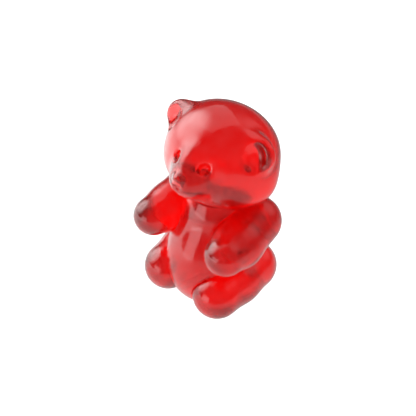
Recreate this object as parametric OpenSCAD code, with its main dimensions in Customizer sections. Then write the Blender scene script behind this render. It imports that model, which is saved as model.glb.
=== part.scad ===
/* [Head] */
// Middle of the skull
skull_at = [0, 5.4, 75.6]; // [0:0.1:80]
// Backward tilt of the head, in degrees
head_tilt = 15; // [10:1:18]
// Half width, depth and height of the skull
skull_r = [27.7, 23.2, 23.8]; // [18:0.1:30]
// Middle of the back of the head, from the middle of the skull
nape_at = [0, 6, 2]; // [0:0.1:6]
// Half width, depth and height of the back of the head
nape_r = [20.5, 20.5, 16]; // [15:0.1:25]
// Middle of the jaw, from the middle of the skull
jaw_at = [0, 0.2, -8.3]; // [-10:0.1:1]
// Half width, depth and height of the jaw and cheeks
jaw_r = [26.6, 18, 12.3]; // [10:0.1:28]
// Middle of the muzzle, from the middle of the skull
muzzle_at = [0, -20.8, -7]; // [-21:0.1:1]
// Half width, depth and height of the muzzle
muzzle_r = [9.3, 9.7, 8.7]; // [6:0.1:11]
// Middle of the left ear, from the middle of the skull
ear_at = [21.2, -4.7, 10.8]; // [-5:0.1:22]
// Half width, depth and height of an ear
ear_r = [9.1, 4.9, 7.8]; // [4:0.1:10]
// Outward lean of an ear, in degrees
ear_lean = 20; // [10:1:35]

/* [Trunk] */
// Middle of the chest
chest_at = [0, 2, 31.5]; // [0:0.1:32]
// Half width, depth and height of the chest
chest_r = [19.9, 19.6, 34.4]; // [18:0.1:37]
// Middle of the belly
belly_at = [0, -6.5, 18.5]; // [-6:0.1:26]
// Half width, depth and height of the belly
belly_r = [19.2, 19.7, 24]; // [16:0.1:25]
// Middle of the seat
seat_at = [0, 7, 14]; // [0:0.1:16]
// Half width, depth and height of the seat
seat_r = [16.5, 16, 16]; // [14:0.1:18]
// Height of the flat joint between trunk and head
neck_z = 57; // [56.5:0.25:58]

/* [Limbs] */
// Middle of the left shoulder
shoulder = [19.5, 6.7, 44.6]; // [3:0.1:46]
// Middle of the left elbow
elbow = [20.7, -8.3, 41.2]; // [-11:0.1:44]
// Middle of the left paw
paw = [21.7, -19.1, 42.1]; // [-21:0.1:46]
// Radii of the shoulder, elbow and paw
arm_r = [12, 11.4, 9.5]; // [8.5:0.1:12.6]
// Outward swing of an arm, in degrees
arm_swing = 30; // [15:5:30]
// Middle of the left hip
hip = [16.2, 8.5, 12.4]; // [6:0.1:18]
// Middle of the left knee
knee = [16.4, -3.5, 11.7]; // [-8:0.1:22]
// Middle of the left foot
foot = [15.5, -17, 11.4]; // [-19:0.1:18]
// Radii of the hip, knee and foot
leg_r = [12.6, 12, 11.7]; // [10.5:0.1:14]
// Outward swing of a leg, in degrees
leg_swing = 30; // [15:5:30]

/* [Joints] */
// Air gap between each moving piece and the trunk
gap = 0.3; // [0.25:0.05:0.4]
// Radius of the neck post
post_r = 4; // [3.5:0.25:4.5]
// Length of the neck post inside the trunk
post_root = 8; // [7:0.5:9]
// Radius of the shoulder and hip pins
pin_r = 1.75; // [1.5:0.25:2]
// Radial clearance round each turning pin and post
turn_fit = 0.05; // [0.02:0.01:0.1]
// Radial interference of each pressed pin and post
press_fit = 0.01; // [0.005:0.005:0.02]
// Thickness of the crossbars
bar_t = 5; // [4:0.5:6]
// Radius of the eyes at the ends of the crossbars
eye_r = 3.5; // [3.5:0.25:4]
// Width of the crossbars between their eyes
bar_w = 5; // [4:0.5:6]

/* [Hidden] */

flesh = [0.82, 0.04, 0.05];  // clear red vinyl
hard = [0.66, 0.03, 0.05];   // the harder, deeper red of the joint pieces
far = 60;                    // past the end of every casting
halvings = 12;               // steps that home in on a casting's surface
big = 90;                    // side of a cube that takes in half of the figure
$fn = 64;

// How softly the pieces of a casting run into each other
cheek_blend = 8;
nape_blend = 6;
muzzle_blend = 6;
ear_blend = 4;
belly_blend = 8;
seat_blend = 8;
elbow_blend = 3;

neck_axis = [0, 2, 0];       // the upright axis that the head turns on
post_root_z = neck_z - post_root;
post_neck_z = neck_z - 0.5;  // above it the neck post is no longer a press fit
cap_seat_z = neck_z + 12;    // the ledge in the head that the snap cap holds
cap_play = 0.1;              // between the cap and its ledge
cap_room = 0.15;             // round the cap
cap_r = post_r + 1.2;
cap_tip_r = post_r - 0.6;
cap_h = 2.4;
washer_r = 8.5;
washer_t = 1.25;
washer_z = neck_z + gap - washer_t;  // it stands proud of its recess by the gap
washer_room = 0.1;           // round the washer in its recess
washer_bore_r = post_r + 0.3;
past = 1;                    // how far a cutter runs on into the open
bar_gap = 0.2;               // above and below a crossbar in its limb
eye_gap = 0.4;               // round a crossbar's eye in its limb
shoulder_pin_z = [shoulder.z - 8, shoulder.z + 11];
hip_pin_z = [0.6, hip.z + 8];
sweep = [0, 1 / 3, 5 / 6];   // parts of a leg's swing that its groove is cut at

// ---- Fields: below 0 inside a form, above 0 outside it ----

function ellipsoid(p, middle, r) =
    let (q = p - middle,
         k0 = norm([q.x / r.x, q.y / r.y, q.z / r.z]),
         k1 = norm([q.x / r.x ^ 2, q.y / r.y ^ 2, q.z / r.z ^ 2]))
    k1 < 0.0001 ? -min(r) : k0 * (k0 - 1) / k1;

// A ball of radius ra at a and one of radius rb at b, with the cone that touches both
function bone(p, a, b, ra, rb) =
    let (along = b - a, q = p - a, l2 = along * along, step = ra - rb, a2 = l2 - step ^ 2,
         y = q * along, z = y - l2, across = q * l2 - along * y, x2 = across * across,
         y2 = y * y * l2, z2 = z * z * l2, k = sign(step) * step ^ 2 * x2)
    sign(z) * a2 * z2 > k ? sqrt(x2 + z2) / l2 - rb :
    sign(y) * a2 * y2 < k ? sqrt(x2 + y2) / l2 - ra :
    (sqrt(x2 * a2 / l2) + y * step) / l2 - ra;

// Two forms run together with a fillet about k wide
function blend(a, b, k) = let (h = max(k - abs(a - b), 0) / k) min(a, b) - h ^ 2 * k / 4;

function leaning(p, middle, angle) =
    let (q = p - middle)
    middle + [q.x * cos(angle) + q.z * sin(angle), q.y, q.z * cos(angle) - q.x * sin(angle)];

// In the head's own frame, with its origin at the middle of the skull
function head_field(p) =
    let (q = [abs(p.x), p.y, p.z],
         skull = blend(ellipsoid(q, [0, 0, 0], skull_r), ellipsoid(q, nape_at, nape_r), nape_blend),
         face = blend(skull, ellipsoid(q, jaw_at, jaw_r), cheek_blend),
         snout = blend(face, ellipsoid(q, muzzle_at, muzzle_r), muzzle_blend))
    blend(snout, ellipsoid(leaning(q, ear_at, ear_lean), ear_at, ear_r), ear_blend);

function trunk_field(p) =
    let (q = [abs(p.x), p.y, p.z],
         front = blend(ellipsoid(q, chest_at, chest_r), ellipsoid(q, belly_at, belly_r), belly_blend))
    blend(front, ellipsoid(q, seat_at, seat_r), seat_blend);

function limb_field(p, joints, r) =
    blend(bone(p, joints[0], joints[1], r[0], r[1]), bone(p, joints[1], joints[2], r[1], r[2]), elbow_blend);

function field(form, p) =
    form == "head" ? head_field(p) :
    form == "trunk" ? trunk_field(p) :
    form == "arm" ? limb_field(p, [shoulder, elbow, paw], arm_r) :
    limb_field(p, [hip, knee, foot], leg_r);

// ---- Castings: a skin of triangles where a form's field is equal to grow ----

function reach(form, from, way, grow, near, beyond, steps) =
    let (mid = (near + beyond) / 2)
    steps == 0 ? mid :
    field(form, from + way * mid) < grow ? reach(form, from, way, grow, mid, beyond, steps - 1) :
    reach(form, from, way, grow, near, mid, steps - 1);

module casting(form, from, rings, spokes, grow = 0) {
    ways = concat([[0, 0, 1]],
        [for (i = [1 : rings - 1], j = [0 : spokes - 1])
            let (dip = 180 * i / rings, turn = 360 * j / spokes)
            [sin(dip) * cos(turn), sin(dip) * sin(turn), cos(dip)]],
        [[0, 0, -1]]);
    last = len(ways) - 1;
    first = function (i) 1 + i * spokes;
    polyhedron(
        points = [for (way = ways) from + way * reach(form, from, way, grow, 0, far, halvings)],
        faces = concat(
            [for (j = [0 : spokes - 1]) [0, first(0) + (j + 1) % spokes, first(0) + j]],
            [for (i = [0 : rings - 3], j = [0 : spokes - 1], half = [0, 1])
                let (a = first(i) + j, b = first(i) + (j + 1) % spokes, c = a + spokes, d = b + spokes)
                half == 0 ? [a, b, c] : [b, d, c]],
            [for (j = [0 : spokes - 1])
                [last, first(rings - 2) + j, first(rings - 2) + (j + 1) % spokes]]));
}

module arm_form(grow = 0) casting("arm", (shoulder + elbow) / 2, 20, 30, grow);

module leg_form(grow = 0) casting("leg", knee, 20, 30, grow);

module on_right() mirror([1, 0, 0]) children();

module above(z) translate([-big / 2, -big / 2, z]) cube(big);

module below(z) translate([-big / 2, -big / 2, z - big]) cube(big);

module upright(at, z, r) translate([at.x, at.y, z[0]]) cylinder(h = z[1] - z[0], r = r);

// ---- Crossbars, and the slots that their limbs swing round them in ----

module bar_form(joint) {
    translate([0, joint.y, joint.z]) cube([2 * joint.x, bar_w, bar_t], center = true);
    for (side = [-1, 1])
        upright([side * joint.x, joint.y], [joint.z - bar_t / 2, joint.z + bar_t / 2], eye_r);
}

module crossbar(joint) difference() {
    bar_form(joint);
    for (side = [-1, 1])
        upright([side * joint.x, joint.y], [joint.z - bar_t, joint.z + bar_t], pin_r + turn_fit);
}

// The left leg, grown by the gap, as it lies when it is turned outward
module leg_room(turn) translate(hip) rotate(turn) translate(-hip) leg_form(gap);

// Cut from the left limb: the bar as it lies in the limb from rest to the end of the swing
module swing_slot(joint, swing) {
    t = bar_t + 2 * bar_gap;
    w = bar_w + 2 * eye_gap;
    upright(joint, [joint.z - t / 2, joint.z + t / 2], eye_r + eye_gap);
    for (turn = [0 : swing / 4 : swing])
        translate(joint) rotate(-turn) translate([-joint.x, -w / 2, -t / 2]) cube([joint.x, w, t]);
}

// ---- The pieces ----

module head() color(flesh) difference() {
    translate(skull_at) rotate([-head_tilt, 0, 0]) casting("head", [0, 0, 0], 36, 60);
    below(neck_z + gap);
    upright(neck_axis, [neck_z, cap_seat_z + past], post_r + turn_fit);
    upright(neck_axis, [cap_seat_z, cap_seat_z + cap_h + past], cap_r + cap_room);
}

module torso() color(flesh) difference() {
    casting("trunk", [0, 2, 32], 28, 40);
    below(0);
    above(neck_z);
    for (side = [0, 1]) mirror([side, 0, 0]) {
        arm_form(gap);
        for (part = sweep) leg_room(part * leg_swing);
    }
    bar_form(shoulder);
    bar_form(hip);
    upright(neck_axis, [post_root_z, neck_z + past], post_r);
    upright(neck_axis, [washer_z, neck_z + past], washer_r + washer_room);
}

module arm_left() color(flesh) difference() {
    arm_form();
    swing_slot(shoulder, arm_swing);
    upright(shoulder, [shoulder_pin_z[0], shoulder.z + arm_r[0] + past], pin_r);
}

module arm_right() on_right() arm_left();

module leg_left() color(flesh) difference() {
    leg_form();
    below(0);
    swing_slot(hip, leg_swing);
    upright(hip, [-past, hip_pin_z[1]], pin_r);
}

module leg_right() on_right() leg_left();

module neck_post() color(hard) {
    upright(neck_axis, [post_root_z, post_neck_z], post_r + press_fit);
    upright(neck_axis, [post_neck_z, cap_seat_z + cap_play], post_r);
    translate(neck_axis) translate([0, 0, cap_seat_z + cap_play])
        cylinder(h = cap_h, r1 = cap_r, r2 = cap_tip_r);
}

module neck_washer() color(hard) difference() {
    upright(neck_axis, [washer_z, neck_z + gap], washer_r);
    upright(neck_axis, [washer_z - past, neck_z + gap + past], washer_bore_r);
}

module shoulder_bar() color(hard) crossbar(shoulder);

module hip_bar() color(hard) crossbar(hip);

module shoulder_pin_left() color(hard) upright(shoulder, shoulder_pin_z, pin_r + press_fit);

module shoulder_pin_right() on_right() shoulder_pin_left();

module hip_pin_left() color(hard) upright(hip, hip_pin_z, pin_r + press_fit);

module hip_pin_right() on_right() hip_pin_left();

head();
torso();
arm_left();
arm_right();
leg_left();
leg_right();
neck_post();
neck_washer();
shoulder_bar();
hip_bar();
shoulder_pin_left();
shoulder_pin_right();
hip_pin_left();
hip_pin_right();
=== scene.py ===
"""A seated bear cast in clear red vinyl, jointed at the neck, shoulders and hips: its looks."""

import math

import bpy
import numpy as np
import openvdb
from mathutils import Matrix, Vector


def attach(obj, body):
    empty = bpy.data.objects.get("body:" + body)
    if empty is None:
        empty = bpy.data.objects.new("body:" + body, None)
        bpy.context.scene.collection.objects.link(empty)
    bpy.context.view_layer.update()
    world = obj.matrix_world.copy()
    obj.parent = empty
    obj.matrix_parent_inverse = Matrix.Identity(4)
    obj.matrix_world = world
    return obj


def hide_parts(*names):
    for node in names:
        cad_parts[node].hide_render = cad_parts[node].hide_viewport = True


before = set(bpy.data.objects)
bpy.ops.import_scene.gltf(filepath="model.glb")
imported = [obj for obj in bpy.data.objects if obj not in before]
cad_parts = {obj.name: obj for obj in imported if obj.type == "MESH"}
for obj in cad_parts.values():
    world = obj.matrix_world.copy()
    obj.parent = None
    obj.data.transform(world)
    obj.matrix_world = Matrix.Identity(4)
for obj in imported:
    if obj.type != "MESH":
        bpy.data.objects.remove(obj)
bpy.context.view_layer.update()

MM = 0.001

# ------------------------------------------------ the forms, in millimetres, as in the CAD frame
SKULL_AT, SKULL_R = (0, 5.4, 75.6), (27.7, 23.2, 23.8)
HEAD_TILT = 15                        # degrees that the head is tipped back

# the rest of the head: middle, measured from the skull's middle before the tilt, radii, and fillet
NAPE = (0, 6, 2), (20.5, 20.5, 16), 6
JAW = (0, 0.2, -8.3), (26.6, 18, 12.3), 8
MUZZLE = (0, -20.8, -7), (9.3, 9.7, 8.7), 6
BROW = (0, -20.5, 1.5), (5, 5.5, 7.5), 5
EAR = (21.2, -4.7, 10.8), (9.1, 4.9, 7.8), 4
DISH = (24, -12.3, 10.8), (5, 6.4, 7.6), 1.6
EYE = (7.8, -23.6, 1.6), (2.6, 3.4, 2.8), 1
NOSE = (0, -29.2, -4.4), (3, 2.6, 2.3), 2
MOUTH = (0, -31.6, -8.6), (2.6, 2.6, 1.6), 1.2
EAR_LEAN, DISH_LEAN = 20, -22         # degrees, in the plane of z and x

# the trunk: the chest, then what is joined to it, with fillets
CHEST_AT, CHEST_R = (0, 2, 31.5), (19.9, 19.6, 34.4)
BELLY = (0, -6.5, 18.5), (19.2, 19.7, 24), 8
SEAT = (0, 7, 14), (16.5, 16, 16), 8

# the left limbs: three joints of each, and their radii
SHOULDER, ELBOW, PAW = (19.5, 6.7, 44.6), (20.7, -8.3, 41.2), (21.7, -19.1, 42.1)
ARM_R = (12, 11.4, 9.5)
HIP, KNEE, FOOT = (16.2, 8.5, 12.4), (16.4, -3.5, 11.7), (15.5, -17, 11.4)
LEG_R = (12.6, 12, 11.7)
LIMB_FILLET = 3

# the joints
SWING = 30                            # degrees that a limb swings outwards
LEG_SWEEP = (0, 5, 10, 17, 25)        # degrees at which the torso makes way for the leg
NECK_Z, NECK_AXIS = 57, (0, 2)
POST_R, POST_DEPTH, TURN_FIT = 4, 8, 0.05
WASHER_R, WASHER_FIT, RECESS_DEPTH = 8.5, 0.1, 0.95
CAP_R, CAP_FIT, CAP_SEAT_Z, CAP_H = 5.2, 0.15, 69, 3.4
BORE_OVERLAP = 1                      # how far the post's bore runs into the cap's
PIN_R, PIN_DEPTH = 1.75, 8
BAR, BAR_GAP = 5, 0.2                 # a crossbar's width and height, and the air over and under it
BAR_EYE_R, BAR_EYE_GAP = 3.5, 0.4     # the eye at its end, and the air beside both
SEAM = 0.15                           # air between the visible castings
LIP = 0.5                             # how far a casting's edge is rounded at a seam

# the meshes: where each casting is sampled and how finely, then how its points are walked on to the surface
BOXES = {
    "head": ((-34, -30, 55), (34, 34, 103)),
    "torso": ((-24, -30, -2), (24, 26, 59)),
    "arm": ((5, -31, 28), (36, 21, 59)),
    "leg": ((2, -31, -2), (31, 23, 27)),
}
BODY_STEP, LIMB_STEP = 0.6, 0.5
WALKS, LONGEST_WALK = 3, 0.3          # how often, and how far at most as a share of the sampling step
SLOPE_STEP, LEAST_SLOPE = 0.05, 0.5


def vec(*a):
    return np.array(a, np.float32)


def ellipsoid(p, middle, r):
    q = (p - vec(*middle)) / vec(*r)
    k0 = np.linalg.norm(q, axis=-1)
    k1 = np.linalg.norm(q / vec(*r), axis=-1) + 1e-6
    return k0 * (k0 - 1) / k1


def bone(p, a, b, ra, rb):
    """A ball at a and one at b, with the cone that touches both."""
    a, b = vec(*a), vec(*b)
    along, q = b - a, p - a
    l2, step = float(along @ along), ra - rb
    a2 = l2 - step * step
    y = q @ along
    z = y - l2
    x2 = ((q * l2 - along * y[..., None]) ** 2).sum(-1)
    y2, z2 = y * y * l2, z * z * l2
    k = np.sign(step) * step * step * x2
    side = (np.sqrt(x2 * a2 / l2) + y * step) / l2 - ra
    at_a = np.sqrt(x2 + y2) / l2 - ra
    at_b = np.sqrt(x2 + z2) / l2 - rb
    return np.where(np.sign(z) * a2 * z2 > k, at_b, np.where(np.sign(y) * a2 * y2 < k, at_a, side))


def join(a, b, k):
    """Two forms run together with a fillet about k wide."""
    h = np.clip(k - np.abs(a - b), 0, None) / k
    return np.minimum(a, b) - h * h * k / 4


def cut(a, b, k):
    """Form a with form b taken away, its edge rounded about k wide."""
    return -join(-a, b, k)


def with_lump(d, p, lump):
    """Form d with an ellipsoid joined to it: its middle, radii and fillet."""
    middle, r, k = lump
    return join(d, ellipsoid(p, middle, r), k)


def with_dent(d, p, dent):
    """Form d with an ellipsoid taken away from it: its middle, radii and rounding."""
    middle, r, k = dent
    return cut(d, ellipsoid(p, middle, r), k)


def turned(p, angle, at, i, j):
    """p turned by -angle degrees about the point at, in the plane of axes i and j."""
    c, s = math.cos(math.radians(angle)), math.sin(math.radians(angle))
    q = p.copy()
    u, v = p[..., i] - at[i], p[..., j] - at[j]
    q[..., i] = at[i] + c * u + s * v
    q[..., j] = at[j] - s * u + c * v
    return q


def mirrored(p):
    q = p.copy()
    q[..., 0] = np.abs(q[..., 0])
    return q


def upright(p, x, y, r):
    """An endless upright cylinder."""
    return np.hypot(p[..., 0] - x, p[..., 1] - y) - r


# ------------------------------------------------ the outer skins
def head_skin(p):
    q = mirrored(turned(p - vec(*SKULL_AT), -HEAD_TILT, (0, 0, 0), 1, 2))
    d = ellipsoid(q, (0, 0, 0), SKULL_R)
    for lump in (NAPE, JAW, MUZZLE, BROW):
        d = with_lump(d, q, lump)
    d = with_lump(d, turned(q, EAR_LEAN, EAR[0], 2, 0), EAR)
    d = with_dent(d, turned(q, DISH_LEAN, DISH[0], 2, 0), DISH)
    d = with_dent(d, q, EYE)
    d = with_lump(d, q, NOSE)
    return with_dent(d, q, MOUTH)


def trunk_skin(p):
    q = mirrored(p)
    d = ellipsoid(q, CHEST_AT, CHEST_R)
    for lump in (BELLY, SEAT):
        d = with_lump(d, q, lump)
    return d


def limb(p, joints, r):
    upper = bone(p, joints[0], joints[1], r[0], r[1])
    lower = bone(p, joints[1], joints[2], r[1], r[2])
    return join(upper, lower, LIMB_FILLET)


def arm(p):
    return limb(p, (SHOULDER, ELBOW, PAW), ARM_R)


def leg(p):
    return limb(p, (HIP, KNEE, FOOT), LEG_R)


# ------------------------------------------------ castings: a skin, and the joins and bores that trim it
def crossbar(q, joint):
    """A crossbar with its two eyes, as the torso is moulded round them. q is mirrored."""
    bar = np.maximum(q[..., 0] - joint[0], np.abs(q[..., 1] - joint[1]) - BAR / 2)
    outline = np.minimum(bar, upright(q, *joint[:2], BAR_EYE_R))
    return np.maximum(outline, np.abs(q[..., 2] - joint[2]) - BAR / 2)


def swing_slot(p, joint):
    """The room in a left limb for its crossbar, from rest to the end of the swing."""
    bars = []
    for angle in (0, SWING / 2, SWING):
        q = turned(p, -angle, joint, 0, 1)
        bars.append(np.maximum(q[..., 0] - joint[0], np.abs(q[..., 1] - joint[1]) - BAR / 2 - BAR_EYE_GAP))
    bars.append(upright(p, *joint[:2], BAR_EYE_R + BAR_EYE_GAP))
    return np.maximum(np.minimum.reduce(bars), np.abs(p[..., 2] - joint[2]) - BAR / 2 - BAR_GAP)


def head_parts(p):
    neck = np.maximum(upright(p, *NECK_AXIS, POST_R + TURN_FIT), p[..., 2] - CAP_SEAT_Z - BORE_OVERLAP)
    cap_level = np.abs(p[..., 2] - CAP_SEAT_Z - CAP_H / 2) - CAP_H / 2
    cap = np.maximum(upright(p, *NECK_AXIS, CAP_R + CAP_FIT), cap_level)
    return head_skin(p), [NECK_Z + 2 * SEAM - p[..., 2], -np.minimum(neck, cap)]


def torso_parts(p):
    q = mirrored(p)
    post = np.maximum(upright(p, *NECK_AXIS, POST_R), NECK_Z - POST_DEPTH - p[..., 2])
    recess = np.maximum(upright(p, *NECK_AXIS, WASHER_R + WASHER_FIT), NECK_Z - RECESS_DEPTH - p[..., 2])
    bars = np.minimum(crossbar(q, SHOULDER), crossbar(q, HIP))
    joins = [p[..., 2] - NECK_Z, -np.minimum(post, recess), -bars, SEAM - arm(q)]
    joins += [SEAM - leg(turned(q, angle, HIP, 0, 1)) for angle in LEG_SWEEP]
    return trunk_skin(p), joins


def arm_parts(p):
    pin = np.maximum(upright(p, *SHOULDER[:2], PIN_R), SHOULDER[2] - PIN_DEPTH - p[..., 2])
    return arm(p), [-np.minimum(pin, swing_slot(p, SHOULDER))]


def leg_parts(p):
    pin = np.maximum(upright(p, *HIP[:2], PIN_R), p[..., 2] - HIP[2] - PIN_DEPTH)
    return leg(p), [-np.minimum(pin, swing_slot(p, HIP))]


# ------------------------------------------------ from forms to meshes
def solid(parts, floor):
    """The field of a whole casting: its skin, trimmed by its joins and bores, and by the floor if told so."""

    def field(p):
        d, joins = parts(p)
        for j in joins:
            d = -join(-d, -j, LIP)
        return np.maximum(d, -p[..., 2]) if floor else d

    return field


def sampled(field, low, high, step):
    """The quads of the surface where the field is 0, from a grid of samples."""
    count = np.ceil((high - low) / step).astype(int) + 1
    axes = [low[i] + step * np.arange(count[i], dtype=np.float32) for i in range(3)]
    grid = np.stack(np.meshgrid(*axes, indexing="ij"), -1)
    values = np.empty(grid.shape[:3], np.float32)
    for i in range(count[0]):
        values[i] = field(grid[i])
    vdb = openvdb.FloatGrid()
    vdb.copyFromArray(values)
    points, quads = vdb.convertToQuads(0.0)
    return points * step + low, quads


def slope(field, points):
    """How fast the field grows along each axis."""
    along = []
    for i in range(3):
        aside = vec(*(SLOPE_STEP * (i == k) for k in range(3)))
        along.append(field(points + aside) - field(points - aside))
    return np.stack(along, -1) / (2 * SLOPE_STEP)


def skinned(name, parts, low, high, step, floor=False):
    """A closed mesh of a casting. Its attribute joint_face is 1 on joint faces and bores, 0 on the skin."""
    field = solid(parts, floor)
    points, quads = sampled(field, vec(*low), vec(*high), step)
    for _ in range(WALKS):
        d = field(points)
        grad = slope(field, points)
        norm2 = np.clip((grad ** 2).sum(-1), LEAST_SLOPE ** 2, None)
        points = points - np.clip(d / norm2, -LONGEST_WALK * step, LONGEST_WALK * step)[:, None] * grad
    if floor:
        points[:, 2] = np.clip(points[:, 2], 0, None)
    mesh = bpy.data.meshes.new(name)
    mesh.from_pydata((points * MM).tolist(), [], quads.tolist())
    mesh.update()
    skin, joins = parts(points)
    inside = np.minimum.reduce([np.abs(j) for j in joins]) < np.abs(skin)
    mark = mesh.attributes.new("joint_face", "FLOAT", "POINT")
    mark.data.foreach_set("value", inside.astype(np.float32))
    mesh.polygons.foreach_set("use_smooth", np.ones(len(quads), bool))
    obj = bpy.data.objects.new(name, mesh)
    bpy.context.scene.collection.objects.link(obj)
    return obj


def other_side(left, name):
    """The same casting for the bear's right side: the left one mirrored."""
    right = left.copy()
    right.data = left.data.copy()
    right.name = name
    co = np.zeros(len(right.data.vertices) * 3, np.float32)
    right.data.vertices.foreach_get("co", co)
    co[::3] *= -1
    right.data.vertices.foreach_set("co", co)
    right.data.flip_normals()
    bpy.context.scene.collection.objects.link(right)
    return right


# ------------------------------------------------ materials
PASSED, DENSITY = (0.978, 0.03, 0.02, 1), 500          # what it lets through, and how strongly it absorbs
VINYL_IOR, AIR_IOR = 1.45, 1
VINYL_ROUGH, COAT_ROUGH = 0.22, 0.04
OWN_LIGHT, OWN_STRENGTH = (1, 0.04, 0.03, 1), 0.02     # stands in for light scattered inside the vinyl
RESIN_GLOSS, RESIN_ROUGH = 0.04, 0.4                   # how much of its surface shines, and how softly
RESIN_SHINE = (1, 0.3, 0.25, 1)
RIPPLES, RIPPLE_BUMP, RIPPLE_DEPTH = (90, 2), 0.25, 0.0006         # scale and detail, strength, metres
PATCHES, PATCH_EDGES, PATCH_VARIES = (260, 4), (0.35, 0.65), 0.05


def ramp(tree, source, low, high, at_low, at_high):
    """A Map Range node: source from low to high becomes at_low to at_high."""
    node = tree.nodes.new("ShaderNodeMapRange")
    for name, value in (("From Min", low), ("From Max", high), ("To Min", at_low), ("To Max", at_high)):
        node.inputs[name].default_value = value
    tree.links.new(source, node.inputs["Value"])
    return node


def noise(tree, where, scale, detail):
    node = tree.nodes.new("ShaderNodeTexNoise")
    node.inputs["Scale"].default_value = scale
    node.inputs["Detail"].default_value = detail
    tree.links.new(where.outputs["Object"], node.inputs["Vector"])
    return node


def clear_material(name):
    """A new material whose inside absorbs nearly all but red light, with its node tree."""
    m = bpy.data.materials.new(name)
    m.use_nodes = True
    tree = m.node_tree
    red = tree.nodes.new("ShaderNodeVolumeAbsorption")
    red.inputs["Color"].default_value = PASSED
    red.inputs["Density"].default_value = DENSITY
    tree.links.new(red.outputs["Volume"], tree.nodes["Material Output"].inputs["Volume"])
    return m, tree


def moulded(tree, rough):
    """The moulded surface: faint ripples, as a normal, and patches of more or less polish, as a roughness."""
    where = tree.nodes.new("ShaderNodeTexCoord")
    ripples = noise(tree, where, *RIPPLES)
    bump = tree.nodes.new("ShaderNodeBump")
    bump.inputs["Strength"].default_value = RIPPLE_BUMP
    bump.inputs["Distance"].default_value = RIPPLE_DEPTH
    tree.links.new(ripples.outputs["Fac"], bump.inputs["Height"])
    patches = noise(tree, where, *PATCHES)
    polish = ramp(tree, patches.outputs["Fac"], *PATCH_EDGES, rough - PATCH_VARIES, rough + PATCH_VARIES)
    return bump.outputs["Normal"], polish.outputs["Result"]


def clear_vinyl(name):
    """The castings. Their joint faces don't bend light, so that a closed joint looks like one casting."""
    m, tree = clear_material(name)
    p = tree.nodes["Principled BSDF"]
    p.inputs["Base Color"].default_value = (1, 1, 1, 1)
    p.inputs["Transmission Weight"].default_value = 1
    p.inputs["Roughness"].default_value = VINYL_ROUGH
    p.inputs["IOR"].default_value = VINYL_IOR
    p.inputs["Coat Weight"].default_value = 1
    p.inputs["Coat Roughness"].default_value = COAT_ROUGH
    p.inputs["Emission Color"].default_value = OWN_LIGHT
    p.inputs["Emission Strength"].default_value = OWN_STRENGTH
    inside = tree.nodes.new("ShaderNodeAttribute")
    inside.attribute_name = "joint_face"
    bend = ramp(tree, inside.outputs["Fac"], 0, 1, VINYL_IOR, AIR_IOR)
    tree.links.new(bend.outputs["Result"], p.inputs["IOR"])
    normal, polish = moulded(tree, VINYL_ROUGH)
    tree.links.new(normal, p.inputs["Normal"])
    tree.links.new(normal, p.inputs["Coat Normal"])
    tree.links.new(polish, p.inputs["Roughness"])
    return m


def clear_resin(name):
    """The hidden hardware. Light goes straight through it, so that only a faint sheen shows where it is."""
    m, tree = clear_material(name)
    tree.nodes.remove(tree.nodes["Principled BSDF"])
    through = tree.nodes.new("ShaderNodeBsdfTransparent")
    gloss = tree.nodes.new("ShaderNodeBsdfGlossy")
    gloss.inputs["Color"].default_value = RESIN_SHINE
    normal, polish = moulded(tree, RESIN_ROUGH)
    tree.links.new(normal, gloss.inputs["Normal"])
    tree.links.new(polish, gloss.inputs["Roughness"])
    mix = tree.nodes.new("ShaderNodeMixShader")
    mix.inputs["Fac"].default_value = RESIN_GLOSS
    tree.links.new(through.outputs["BSDF"], mix.inputs[1])
    tree.links.new(gloss.outputs["BSDF"], mix.inputs[2])
    tree.links.new(mix.outputs["Shader"], tree.nodes["Material Output"].inputs["Surface"])
    return m


vinyl = clear_vinyl("clear_red_vinyl")
resin = clear_resin("clear_red_resin")

# ------------------------------------------------ the bear
head = skinned("head_casting", head_parts, *BOXES["head"], BODY_STEP)
torso = skinned("torso_casting", torso_parts, *BOXES["torso"], BODY_STEP, floor=True)
pieces = [(head, "head", "head"), (torso, "torso", "torso")]
for kind, parts in (("arm", arm_parts), ("leg", leg_parts)):
    left = skinned(kind + "_casting_left", parts, *BOXES[kind], LIMB_STEP, floor=kind == "leg")
    right = other_side(left, kind + "_casting_right")
    pieces += [(left, kind + "_left", kind + "_left"), (right, kind + "_right", kind + "_right")]
for obj, body, node in pieces:
    obj.data.materials.append(vinyl)
    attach(obj, body)
    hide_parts(node)
castings = [node for _, _, node in pieces]
for node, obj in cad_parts.items():
    if node not in castings:
        for s in obj.material_slots:
            s.material = resin

# ------------------------------------------------ the floor, from here on in metres
SHEET_HALF, SHEET_DROP = 3, 0.0005
PAPER, PAPER_ROUGH, PAPER_SHINE = (0.2, 0.2, 0.2, 1), 0.9, 0.1
WHITE = 1.35                              # the glow of a plain white floor and room
# what mirror reflections see of the floor: from this place to that along an axis, and the glow at each
ACROSS = (-0.2, 0.05, 1.4, 0.4)
BEHIND = (0.02, 0.2, 1, 0.05)
# what is seen of it through the vinyl, a painted shadow: the same, by the distance from a spot just behind
# the bear
SHADOW_SPOT, SHADOW_FADE = (-0.015, 0.035, 0), (0.02, 0.09, 0.9, 1.4)


def sheet(name, half):
    mesh = bpy.data.meshes.new(name)
    corners = [(-half, -half, 0), (half, -half, 0), (half, half, 0), (-half, half, 0)]
    mesh.from_pydata(corners, [], [(0, 1, 2, 3)])
    obj = bpy.data.objects.new(name, mesh)
    bpy.context.scene.collection.objects.link(obj)
    return obj


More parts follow.
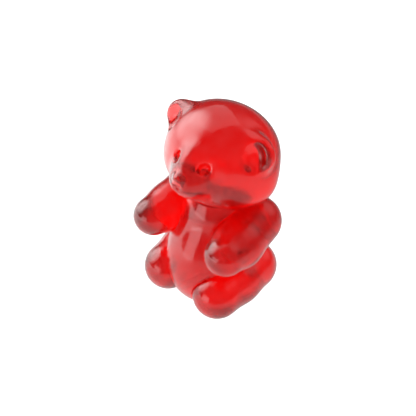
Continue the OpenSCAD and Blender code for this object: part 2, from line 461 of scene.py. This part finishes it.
def glowing_white(name):
    """A white glowing sheet: even to the camera, with a painted shadow near the bear through the vinyl.
    Mirror reflections see it bright at the bear's right and in front, and dark behind."""
    m = bpy.data.materials.new(name)
    m.use_nodes = True
    tree = m.node_tree
    paper = tree.nodes["Principled BSDF"]
    paper.inputs["Base Color"].default_value = PAPER
    paper.inputs["Roughness"].default_value = PAPER_ROUGH
    paper.inputs["Specular IOR Level"].default_value = PAPER_SHINE
    paper.inputs["Emission Color"].default_value = (1, 1, 1, 1)
    place = tree.nodes.new("ShaderNodeTexCoord")
    split = tree.nodes.new("ShaderNodeSeparateXYZ")
    tree.links.new(place.outputs["Object"], split.inputs[0])
    across = ramp(tree, split.outputs["X"], *ACROSS)
    behind = ramp(tree, split.outputs["Y"], *BEHIND)
    mirror = tree.nodes.new("ShaderNodeMath")
    mirror.operation = "MULTIPLY"
    tree.links.new(across.outputs["Result"], mirror.inputs[0])
    tree.links.new(behind.outputs["Result"], mirror.inputs[1])
    away = tree.nodes.new("ShaderNodeVectorMath")
    away.operation = "DISTANCE"
    away.inputs[1].default_value = SHADOW_SPOT
    tree.links.new(place.outputs["Object"], away.inputs[0])
    # painted shadow: through the vinyl the floor is darker the nearer it is to the spot behind the bear
    shade = ramp(tree, away.outputs["Value"], *SHADOW_FADE)
    ray = tree.nodes.new("ShaderNodeLightPath")
    under = ramp(tree, ray.outputs["Is Camera Ray"], 0, 1, 0, WHITE)
    tree.links.new(shade.outputs["Result"], under.inputs["To Min"])
    glowing = ramp(tree, ray.outputs["Is Reflection Ray"], 0, 1, WHITE, 0)
    tree.links.new(under.outputs["Result"], glowing.inputs["To Min"])
    tree.links.new(mirror.outputs["Value"], glowing.inputs["To Max"])
    tree.links.new(glowing.outputs["Result"], paper.inputs["Emission Strength"])
    return m


floor = sheet("floor", SHEET_HALF)
floor.data.materials.append(glowing_white("floor_white"))
floor.location.z = -SHEET_DROP

# ------------------------------------------------ the lights and the camera, in metres
# a glow: azimuth, elevation, the angles from its middle at which it starts to fade and ends, strength
ALL_ROUND = (0, 90, 179, 180, 0.05)
KEY = (-80, 27, 0, 40, 3)
RIM = (155, 38, 0, 38, 0.4)
PANELS = {                                # azimuth, elevation, distance, size and radiance
    "overhead": (-115, 55, 0.8, 0.9, 0.55),
    "front": (-14, 2, 0.8, 0.46, 1.5),
}
MIDDLE = Vector((0, 0, 0.05))             # what the panels and the camera face
CAMERA_AZ, CAMERA_EL, CAMERA_FAR = 39.5, 40.9, 0.420
LENS, SENSOR, SHIFT, NEAREST = 77.8, 36, (-0.0159, -0.0159), 0.01


def direction(az, el):
    """Unit vector to a place in the room. Azimuth goes from the front to the bear's left, in degrees."""
    a, e = math.radians(az), math.radians(el)
    return Vector((math.sin(a) * math.cos(e), -math.cos(a) * math.cos(e), math.sin(e)))


def glow(room, coords, az, el, inner_angle, outer_angle, strength):
    """A soft-edged round light in the room: full within inner_angle of its middle, none past outer_angle."""
    dot = room.nodes.new("ShaderNodeVectorMath")
    dot.operation = "DOT_PRODUCT"
    dot.inputs[1].default_value = direction(az, el)
    room.links.new(coords.outputs["Generated"], dot.inputs[0])
    low, high = math.cos(math.radians(outer_angle)), math.cos(math.radians(inner_angle))
    edge = ramp(room, dot.outputs["Value"], low, high, 0, strength)
    edge.interpolation_type = "SMOOTHERSTEP"
    return edge.outputs["Result"]


def studio(name):
    """The room: its glows to mirror reflections, and plain white otherwise."""
    world = bpy.data.worlds.new(name)
    world.use_nodes = True
    room = world.node_tree
    sky = room.nodes["Background"]
    sky.inputs["Color"].default_value = (1, 1, 1, 1)
    coords = room.nodes.new("ShaderNodeTexCoord")
    total = glow(room, coords, *ALL_ROUND)
    for light in (KEY, RIM):
        add = room.nodes.new("ShaderNodeMath")
        room.links.new(total, add.inputs[0])
        room.links.new(glow(room, coords, *light), add.inputs[1])
        total = add.outputs["Value"]
    ray = room.nodes.new("ShaderNodeLightPath")
    seen = ramp(room, ray.outputs["Is Reflection Ray"], 0, 1, WHITE, 0)
    room.links.new(total, seen.inputs["To Max"])
    room.links.new(seen.outputs["Result"], sky.inputs["Strength"])
    return world


def softbox(name, az, el, far, size, radiance):
    """A square panel that faces the bear from a direction, with the radiance it should have."""
    light = bpy.data.lights.new(name, "AREA")
    light.shape = "SQUARE"
    light.size = size
    light.energy = math.pi * size * size * radiance
    obj = bpy.data.objects.new(name, light)
    obj.location = MIDDLE + direction(az, el) * far
    obj.rotation_euler = direction(az, el).to_track_quat("Z", "Y").to_euler()
    bpy.context.scene.collection.objects.link(obj)


bpy.context.scene.world = studio("studio")
for name, panel in PANELS.items():
    softbox(name, *panel)

back = direction(CAMERA_AZ, CAMERA_EL)
camera = bpy.data.objects.new("camera", bpy.data.cameras.new("camera"))
camera.data.sensor_width = SENSOR
camera.data.lens = LENS
camera.data.clip_start = NEAREST
camera.data.shift_x, camera.data.shift_y = SHIFT
camera.location = MIDDLE + back * CAMERA_FAR
camera.rotation_euler = back.to_track_quat("Z", "Y").to_euler()
bpy.context.scene.collection.objects.link(camera)
bpy.context.scene.camera = camera
bpy.context.scene.view_settings.view_transform = "Standard"
